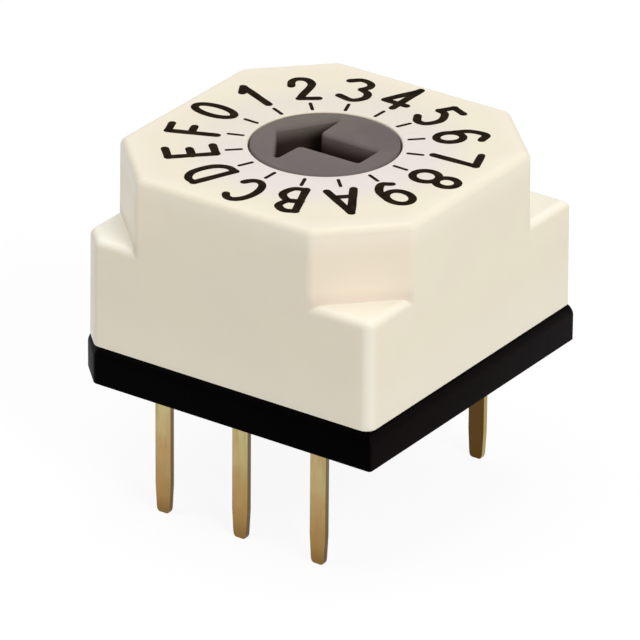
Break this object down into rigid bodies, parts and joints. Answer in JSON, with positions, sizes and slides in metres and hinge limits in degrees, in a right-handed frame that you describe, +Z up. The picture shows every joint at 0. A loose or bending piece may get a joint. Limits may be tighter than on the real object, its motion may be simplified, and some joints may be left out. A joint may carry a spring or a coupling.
{
  "type": "rotary dip switch",
  "caption": "Board-mounted coded rotary switch: square black base with flat pins, ivory housing with an octagonal top and hexadecimal dial, and a flush rotor with an arrow recess.",
  "frame": {"origin": "on the rotor's axis, in the seating plane, which is the flat underside of the base", "axes": "+Z up along the rotor's axis, +X along a row of pins; the arrow points along -X at rest, and the cut index corner is at -X -Y"},
  "size_m": [0.0098, 0.0098, 0.0102],
  "materials": {
    "housing": "moulded ivory plastic, fine satin texture",
    "base": "moulded black plastic, satin",
    "rotor": "moulded grey plastic, satin",
    "o_ring": "black rubber",
    "click_spring": "stainless spring strip",
    "brush": "spring bronze with a thin bright plating",
    "terminal": "stamped copper alloy with a pale gold plating, duller towards the pin tips"
  },
  "bodies": {
    "case": {"housing": "housing", "base": "base", "click_spring_a": "click_spring", "click_spring_b": "click_spring", "terminal_common": "terminal", "terminal_1": "terminal", "terminal_2": "terminal", "terminal_4": "terminal", "terminal_8": "terminal"},
    "rotor": {"rotor": "rotor", "o_ring": "o_ring", "contact_brush": "brush"}
  },
  "joints": [
    {"name": "rotor_turn", "type": "hinge", "parent": "case", "child": "rotor", "pos_m": [0, 0, 0.00635], "axis": [0, 0, 1], "continuous": true, "deforming": ["click_spring_a", "click_spring_b"]}
  ]
}
